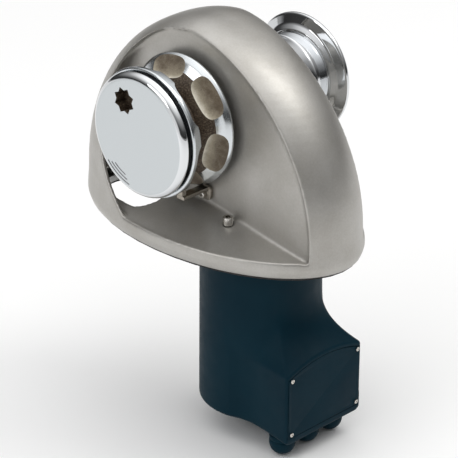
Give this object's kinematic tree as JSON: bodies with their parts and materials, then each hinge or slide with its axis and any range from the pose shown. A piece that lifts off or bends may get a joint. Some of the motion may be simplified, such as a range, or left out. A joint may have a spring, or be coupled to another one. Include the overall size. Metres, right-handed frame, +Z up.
{
  "type": "anchor windlass",
  "caption": "Horizontal anchor windlass: chain gypsy with cone clutch, warping drum, domed cover, worm gear and a motor hanging below deck in a plastic housing.",
  "frame": {"origin": "centre of the elliptical base on the deck plane, at the underside of the gasket", "axes": "+X to the bow, -Y to the chain side with the gypsy and clutch, +Y to the rope side with the warping drum, +Z up"},
  "size_m": [0.3, 0.2152, 0.3803],
  "materials": {
    "satin_silver": "satin silver coat over cast aluminium",
    "chrome": "polished chrome plate",
    "cast_alloy": "as-cast aluminium",
    "stainless": "polished stainless steel",
    "steel": "machined steel",
    "bronze": "machined bronze",
    "copper": "wound copper and copper alloy",
    "dark_plastic": "fine-textured dark blue-black plastic",
    "black_rubber": "matte black rubber"
  },
  "bodies": {
    "hull": {"base_frame": "cast_alloy", "brush_ring": "black_rubber", "cable_gland_1": "dark_plastic", "cable_gland_2": "dark_plastic", "cable_gland_3": "dark_plastic", "chain_stripper": "stainless", "cover": "satin_silver", "cover_screw_chain_side": "stainless", "cover_screw_rope_side": "stainless", "deck_gasket": "black_rubber", "field_magnets": "black_rubber", "gearbox_foot_bolt_1": "stainless", "gearbox_foot_bolt_2": "stainless", "gearbox_foot_bolt_3": "stainless", "gearbox_foot_bolt_4": "stainless", "gearbox_housing": "cast_alloy", "gearbox_side_plate": "cast_alloy", "gearbox_side_screw_1": "stainless", "gearbox_side_screw_2": "stainless", "gearbox_side_screw_3": "stainless", "gearbox_side_screw_4": "stainless", "motor_adaptor": "cast_alloy", "motor_can": "steel", "motor_end_plate": "cast_alloy", "motor_housing": "dark_plastic", "shaft_bearing_chain_side": "steel", "shaft_bearing_rope_side": "steel", "shaft_seal_chain_side": "black_rubber", "shaft_seal_rope_side": "black_rubber", "stripper_screw": "stainless", "terminal_block": "black_rubber", "terminal_cover": "dark_plastic", "terminal_cover_screw_1": "stainless", "terminal_cover_screw_2": "stainless", "terminal_cover_screw_3": "stainless", "terminal_cover_screw_4": "stainless", "terminal_stud_1": "copper", "terminal_stud_2": "copper", "terminal_stud_3": "copper", "worm_bearing_bottom": "steel", "worm_bearing_top": "steel", "worm_seal": "black_rubber"},
    "shaft": {"main_shaft": "stainless", "worm_wheel": "bronze", "wheel_key": "steel", "inner_cone": "bronze", "inner_cone_key": "steel", "outer_cone_key": "steel", "warping_drum": "chrome", "drum_key": "steel", "drum_washer": "stainless", "drum_screw": "stainless"},
    "motor_rotor": {"worm": "steel", "shaft_coupling": "steel", "armature": "copper"},
    "gypsy": {"gypsy": "chrome"},
    "clutch_cone": {"outer_cone": "chrome"},
    "clutch_nut": {"clutch_cap": "chrome"}
  },
  "joints": [
    {"name": "shaft_spin", "type": "hinge", "parent": "hull", "child": "shaft", "pos_m": [-0.008, 0, 0.11], "axis": [0, 1, 0], "continuous": true},
    {"name": "motor_spin", "type": "hinge", "parent": "hull", "child": "motor_rotor", "pos_m": [0.0474, 0, 0], "axis": [0, 0, 1], "continuous": true},
    {"name": "gypsy_slip", "type": "hinge", "parent": "shaft", "child": "gypsy", "pos_m": [-0.008, 0, 0.11], "axis": [0, 1, 0], "continuous": true},
    {"name": "clutch_slide", "type": "slide", "parent": "shaft", "child": "clutch_cone", "axis": [0, -1, 0], "range_m": [0, 0.00187]},
    {"name": "clutch_turn", "type": "hinge", "parent": "clutch_cone", "child": "clutch_nut", "pos_m": [-0.008, 0, 0.11], "axis": [0, -1, 0], "range_deg": [0, 270]}
  ],
  "couplings": [
    {"joint": "motor_spin", "follows": "shaft_spin", "ratio": 34},
    {"joint": "clutch_slide", "follows": "clutch_turn", "m_per_rad": 0.00039789}
  ]
}
